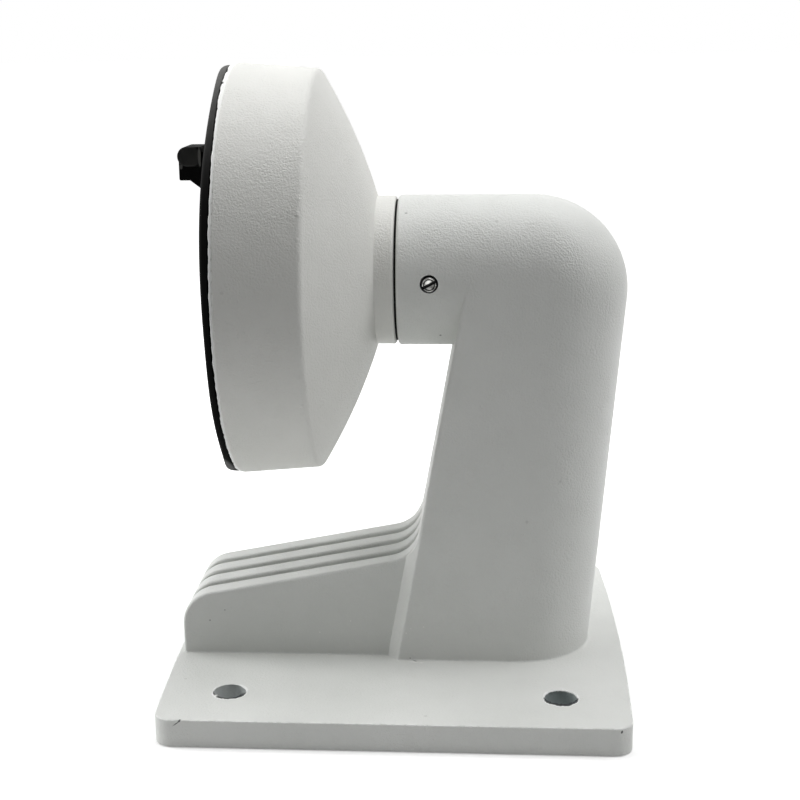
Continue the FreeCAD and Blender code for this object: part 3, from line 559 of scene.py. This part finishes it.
def screw_end_height(radius):
    """Drop below the screw's face: none on the middle, a round groove, then a chamfered rim."""
    groove = 0.25 * np.exp(-((radius - 1.42) / 0.14) ** 2)
    chamfer = np.clip((radius - (SCREW_R - 0.3)) / 0.3, 0, 1) * 0.14
    return -groove - chamfer - 0.04 * (radius / SCREW_R) ** 2


def grub_screw(side):
    """Slotted end on chords across the disc, carried down its outline to the shank and the cone."""
    half_slot = SCREW_SLOT_WIDTH / 2
    inner = np.linspace(-half_slot, half_slot, 9)
    outer = half_slot + 0.005 + (SCREW_R - half_slot - 0.005) * np.sin(np.linspace(0, np.pi / 2, 44))
    across = np.concatenate([-outer[::-1], inner, outer])
    along = np.sin(np.linspace(-np.pi / 2, np.pi / 2, 97))
    chord = np.sqrt(np.clip(SCREW_R ** 2 - across ** 2, 0, None))
    u = np.repeat(across[:, None], len(along), 1)
    v = chord[:, None] * along[None, :]
    height = screw_end_height(np.hypot(u, v))
    height = np.where(np.abs(u) < half_slot + 0.001, -SCREW_SLOT_DEPTH, height)
    top = np.stack([u, v, height], -1)

    rim = np.concatenate([top[:, -1], top[-2:0:-1, 0]])
    angle = np.arctan2(rim[:, 1], rim[:, 0])
    depths = [1.2, 2.4, 3.6, SCREW_FACE_Y - SCREW_TIP_Y - SCREW_R, SCREW_FACE_Y - SCREW_TIP_Y]
    radii = [SCREW_R, SCREW_R, SCREW_R, SCREW_R, 0.02]
    rings = [np.stack([r * np.cos(angle), r * np.sin(angle), -d + 0 * angle], -1)
             for d, r in zip(depths, radii)]
    return top, np.stack([rim, *rings])


def slotted_screw(name, side, material, replaced):
    """Joins the end and the shank into one closed skin, turned and set in the arm's side."""
    top, shank = grub_screw(side)
    top_count = top.shape[0] * top.shape[1]
    cells = np.arange(top_count).reshape(top.shape[:2])
    top_faces = np.stack([cells[:-1, :-1], cells[1:, :-1], cells[1:, 1:], cells[:-1, 1:]], -1)
    ring = top_count + np.arange(shank.shape[0] * shank.shape[1]).reshape(shank.shape[:2])
    turn = np.roll(ring, -1, 1)
    shank_faces = np.stack([ring[:-1], ring[1:], turn[1:], turn[:-1]], -1)
    faces = [*top_faces.reshape(-1, 4).tolist(), *shank_faces.reshape(-1, 4).tolist(), ring[-1].tolist()]
    local = np.concatenate([top.reshape(-1, 3), shank.reshape(-1, 3)])
    slot_turn = math.radians(SCREW_SLOT_DEG)
    slot_along = np.array([math.cos(slot_turn), 0, math.sin(slot_turn)])
    slot_across = np.array([-math.sin(slot_turn), 0, math.cos(slot_turn)])
    points = (local[:, :1] * slot_across + local[:, 1:2] * slot_along
              + (SCREW_FACE_Y + local[:, 2:]) * np.array([0, side, 0])
              + np.array([SCREW_X, 0, SCREW_Z - 0.33]))
    data = bpy.data.meshes.new(name)
    data.from_pydata((points * MM).tolist(), [], faces)
    data.validate()
    in_slot = np.abs(local[:, 0]) < SCREW_SLOT_WIDTH / 2 + 0.002
    radius = np.hypot(local[:, 0], local[:, 1])
    # Marks for painted shade: the groove, the slot, one half of the raised middle and the shank.
    cut_and_shade = np.maximum(np.exp(-((radius - 1.42) / 0.13) ** 2), 0.6 * (radius < 1.25) * (local[:, 0] < 0))
    cut_and_shade = np.where(in_slot, 1.0, np.where(local[:, 2] < -1.0, 1.0, cut_and_shade))
    data.attributes.new("cut_and_shade", "FLOAT", "POINT").data.foreach_set("value", cut_and_shade)
    shape = bmesh.new()
    shape.from_mesh(data)
    bmesh.ops.remove_doubles(shape, verts=shape.verts, dist=1e-7)
    bmesh.ops.recalc_face_normals(shape, faces=shape.faces)
    shape.to_mesh(data)
    shape.free()
    data.shade_smooth()
    data.set_sharp_from_angle(angle=math.radians(40))
    data.materials.append(material)
    piece = bpy.data.objects.new(name, data)
    bpy.context.scene.collection.objects.link(piece)
    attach(piece, "root")
    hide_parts(replaced)
    return piece


screw_steel = cut_metal("turned steel", (0.72, 0.72, 0.69), 0.28, 1800.0)
slotted_screw("slotted_set_screw_front", -1, screw_steel, "set_screw_front")
slotted_screw("slotted_set_screw_rear", 1, screw_steel, "set_screw_rear")


# Dish gasket: a black rubber ring pressed into a groove in the dish's rim. Its lip hides the
# rim's edge, with a notch under it, and like any moulded ring it is never quite round.

GASKET_FACE_X, LIP_R, GASKET_INNER_R, NOTCH_R = -44.5, 54.7, 51.4, 54.1
NOTCH_X, BEAD_INNER_R, BEAD_OUTER_R, BEAD_END_X = -42.7, 52.2, 53.6, -40.95


def gasket_ring():
    """Profile of (x, radius) points carried round the axis; it lifts at top and bottom and wavers."""
    round_lip = [(GASKET_FACE_X + 0.9 * (1 - math.sin(a)), LIP_R - 0.9 * (1 - math.cos(a)))
                 for a in np.linspace(math.pi / 2, 0, 7)]
    profile = [
        *round_lip, (NOTCH_X - 0.2, LIP_R), (NOTCH_X - 0.06, LIP_R - 0.06), (NOTCH_X, LIP_R - 0.2),
        (NOTCH_X, NOTCH_R + 0.1), (NOTCH_X + 0.08, NOTCH_R), (RIM_X, NOTCH_R), (RIM_X, BEAD_OUTER_R),
        (BEAD_END_X, BEAD_OUTER_R), (BEAD_END_X, BEAD_INNER_R), (RIM_X, BEAD_INNER_R),
        (RIM_X, GASKET_INNER_R), (RIM_X - 1.0, GASKET_INNER_R),
        (GASKET_FACE_X + 0.25, GASKET_INNER_R), (GASKET_FACE_X + 0.07, GASKET_INNER_R + 0.07),
        (GASKET_FACE_X, GASKET_INNER_R + 0.25),
    ]
    profile = np.array(profile)
    angle = np.linspace(0, 2 * np.pi, 360, endpoint=False)
    turn, x = np.meshgrid(angle, profile[:, 0])
    radius = np.repeat(profile[:, 1:], len(angle), 1)
    proud = np.clip((RIM_X - x) / (RIM_X - GASKET_FACE_X), 0, 1)
    radius = radius - proud * (0.12 + ragged(turn[0], 5, 0.1, 2, 11)[None, :]) * (radius > 53)
    radius = radius - np.clip(3 * proud, 0, 1) * 0.35 * bell(turn, 88, 7) * (radius > 53)
    lift = 1.05 * bell(turn, 94, 18) + 0.3 * bell(turn, 155, 20) - 0.2 * bell(turn, 192, 14)
    lift = lift + 1.5 * bell(turn, 252, 14)
    notch = (radius > 53) * (x > GASKET_FACE_X + 1.2) * (x < RIM_X - 0.1)
    x = x + proud * (0.05 + ragged(turn[0], 9, 0.05, 2, 9)[None, :] - lift * (1 - notch))
    # The gasket's notch gives way where the pale bead lies over it as painted highlight.
    x = x - 0.95 * highlight_reach(turn) * notch
    return np.stack([x, radius * np.cos(turn), AXIS_Z + radius * np.sin(turn)], -1)


# The gasket's top turns grey as painted highlight from the light overhead, and the grey patch low at the
# front is a painted highlight.
gasket_rubber = black_rubber(
    "gasket rubber", (0.0025, 0.0025, 0.0025), 0.62, 0.03, 900.0, 0.05, painted_top_highlight=(132, 166),
    painted_highlights=[((-44.8, -25.0, 64.3), (2.4, 9.0, 7.0), (0, 0, 0), 1.0, 2.4)])
gasket = surface_piece("rubber_gasket", gasket_ring(), gasket_rubber, close_rows=True)
gasket.data.set_sharp_from_angle(angle=math.radians(38))
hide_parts("dish_gasket")


# Camera hook: a black moulded plastic catch with a rounded thumb lever, screwed to a post inside
# the dish. The camera hangs on it while its wires are joined.

# Painted highlights on the hook: the lever's face lighter than the body in its shade below, a strip on the
# lever's root and a small triangle under its tip.
HOOK_PAINTED_HIGHLIGHTS = [
    ((-50.6, -30.0, 145.4), (3.3, 0.7, 2.9), (0, 0, 0), 0.1, 0.27),
    ((-47.75, -29.9, 145.4), (0.5, 0.6, 2.7), (0, 0, 0), 0.4, 1.3),
    ((-52.9, -28.0, 142.75), (0.55, 0.4, 0.7), (0, 0, 0), 0.5, 1.2),
]
hook_plastic = black_rubber(
    "hook plastic", (0.002, 0.002, 0.002), 0.55, 0.02, 1300.0, 0.02, painted_highlights=HOOK_PAINTED_HIGHLIGHTS)
dress("camera_hook", hook_plastic)
hook_screw_steel = cut_metal("hook screw steel", (0.40, 0.40, 0.39), 0.36, 2000.0)
dress("hook_screw", hook_screw_steel)


# Studio: a pale seamless floor that takes the part's soft shadow, two softboxes overhead, one high
# on each side and one low on each side, and white all round.

def smooth_disc_floor():
    """Flat disc of rings, close together near the part and far apart outside it."""
    angle = np.linspace(0, 2 * np.pi, 64, endpoint=False)
    radii = np.array([0.0, 0.05, 0.1, 0.2, 0.4, 0.8, 1.6, 3.2, 6.0, 12.0]) / MM
    turn, radius = np.meshgrid(angle, radii)
    return np.stack([radius * np.cos(turn), radius * np.sin(turn), 0 * turn], -1)


def white_for_eye(tree):
    """1 for camera, mirror and see-through rays, 0 for rays that carry light."""
    path = add_node(tree, "ShaderNodeLightPath").outputs
    seen = calc(tree, "MAXIMUM", path["Is Camera Ray"], path["Is Glossy Ray"])
    return calc(tree, "MAXIMUM", seen, path["Is Transmission Ray"])


FLOOR_NEAR, FLOOR_FAR, FLOOR_SEEN, FLOOR_GLOW = 0.85, 0.30, 0.97, 0.28
floor_paper, tree = blank_material("floor paper")
place = add_node(tree, "ShaderNodeTexCoord").outputs["Object"]
reach = add_node(tree, "ShaderNodeVectorMath", {0: place}, operation="LENGTH").outputs["Value"]
far = add_node(
    tree, "ShaderNodeMapRange", {"Value": reach, "From Min": 0.10, "From Max": 0.30},
    interpolation_type="SMOOTHSTEP").outputs[0]
bounce = add_node(
    tree, "ShaderNodeMapRange",
    {"Value": reach, "From Min": 0.14, "From Max": 0.45, "To Min": FLOOR_NEAR, "To Max": FLOOR_FAR},
    interpolation_type="SMOOTHSTEP").outputs[0]
seen = white_for_eye(tree)
paper_colour = add_node(
    tree, "ShaderNodeMix",
    {"Factor": seen, "A": bounce, "B": (FLOOR_SEEN,) * 3 + (1,)}, data_type="RGBA")
paper = add_node(tree, "ShaderNodeBsdfDiffuse", {"Color": paper_colour.outputs["Result"]})
glow_share = add_node(
    tree, "ShaderNodeMapRange", {"Value": far, "To Min": FLOOR_GLOW, "To Max": 1.0}).outputs[0]
glow = add_node(
    tree, "ShaderNodeEmission",
    {"Color": (1, 1, 1, 1), "Strength": calc(tree, "MULTIPLY", seen, glow_share)})
finish_material(tree, add_node(tree, "ShaderNodeAddShader", {0: paper.outputs[0], 1: glow.outputs[0]}))

floor_data = bpy.data.meshes.new("floor")
floor_points = smooth_disc_floor()
rows, columns = floor_points.shape[:2]
index = np.arange(rows * columns).reshape(rows, columns)
turned = np.roll(index, -1, 1)
floor_faces = np.stack([index[:-1], index[1:], turned[1:], turned[:-1]], -1).reshape(-1, 4)
floor_data.from_pydata((floor_points.reshape(-1, 3) * MM).tolist(), [], floor_faces.tolist())
floor_data.validate()
floor_data.materials.append(floor_paper)
floor = bpy.data.objects.new("floor", floor_data)
floor.location.z = -0.0002
bpy.context.scene.collection.objects.link(floor)

world = bpy.data.worlds.new("studio")
bpy.context.scene.world = world
world.use_nodes = True
tree = world.node_tree
tree.nodes.clear()
soft_light = add_node(tree, "ShaderNodeBackground", {"Color": (0.97, 0.985, 1, 1), "Strength": 0.01})
white = add_node(tree, "ShaderNodeBackground", {"Color": (1, 1, 1, 1), "Strength": 1.0})
pick = add_node(
    tree, "ShaderNodeMixShader",
    {0: white_for_eye(tree), 1: soft_light.outputs[0], 2: white.outputs[0]})
tree.links.new(pick.outputs[0], add_node(tree, "ShaderNodeOutputWorld").inputs["Surface"])


def softbox(name, place, aim, width, height, power):
    """A square lamp of the given size that faces the point it is aimed at."""
    lamp_data = bpy.data.lights.new(name, "AREA")
    lamp_data.shape = "RECTANGLE"
    lamp_data.size, lamp_data.size_y, lamp_data.energy = width, height, power
    lamp = bpy.data.objects.new(name, lamp_data)
    lamp.location = place
    lamp.rotation_euler = (Vector(aim) - Vector(place)).to_track_quat("-Z", "Y").to_euler()
    lamp.visible_camera = False
    bpy.context.scene.collection.objects.link(lamp)


softbox("wide softbox overhead", (0.0, 0.0, 0.95), (0, 0, 0.08), 1.0, 0.9, 1.47)
softbox("near softbox overhead", (0.0, 0.10, 0.60), (0, 0, 0.08), 0.5, 0.5, 1.28)
softbox("high right softbox", (0.55, 0.0, 0.85), (0, 0, 0.08), 0.6, 0.8, 4.26)
softbox("high left softbox", (-0.45, 0.10, 0.45), (0, 0, 0.05), 0.3, 0.3, 1.17)
softbox("left softbox", (-0.85, 0.0, 0.25), (0, 0, 0.07), 0.6, 0.4, 2.86)
softbox("right softbox", (0.85, 0.0, 0.25), (0, 0, 0.07), 0.6, 0.4, 0.43)


# Camera: where the photograph was taken from, worked out from the outline of the solids.

CAMERA_PLACE = Vector((21.358, -400.900, 173.880)) * MM
CAMERA_YAW, CAMERA_PITCH, CAMERA_ROLL = -0.0779895656759431, 0.26491973303475913, -0.014450072655075785
CAMERA_FOCAL_PIXELS, FRAME_PIXELS, CENTRE_U, CENTRE_V, SENSOR = 1492.29, 800, 365.0, 440.0, 36.0

forward = Vector((math.sin(CAMERA_YAW) * math.cos(CAMERA_PITCH),
                  math.cos(CAMERA_YAW) * math.cos(CAMERA_PITCH), -math.sin(CAMERA_PITCH)))
level = Vector((math.cos(CAMERA_YAW), -math.sin(CAMERA_YAW), 0))
upright = level.cross(forward)
right = math.cos(CAMERA_ROLL) * level + math.sin(CAMERA_ROLL) * upright
up = -math.sin(CAMERA_ROLL) * level + math.cos(CAMERA_ROLL) * upright
camera_data = bpy.data.cameras.new("camera")
camera_data.sensor_width = SENSOR
camera_data.lens = CAMERA_FOCAL_PIXELS * SENSOR / FRAME_PIXELS
camera_data.shift_x = (FRAME_PIXELS / 2 - CENTRE_U) / FRAME_PIXELS
camera_data.shift_y = (CENTRE_V - FRAME_PIXELS / 2) / FRAME_PIXELS
camera_data.clip_start = 0.01
camera = bpy.data.objects.new("camera", camera_data)
camera.matrix_world = Matrix(
    [[*row, place] for row, place in zip(zip(right, up, -forward), CAMERA_PLACE)] + [[0, 0, 0, 1]])
bpy.context.scene.collection.objects.link(camera)
bpy.context.scene.camera = camera
bpy.context.scene.view_settings.view_transform = "Standard"
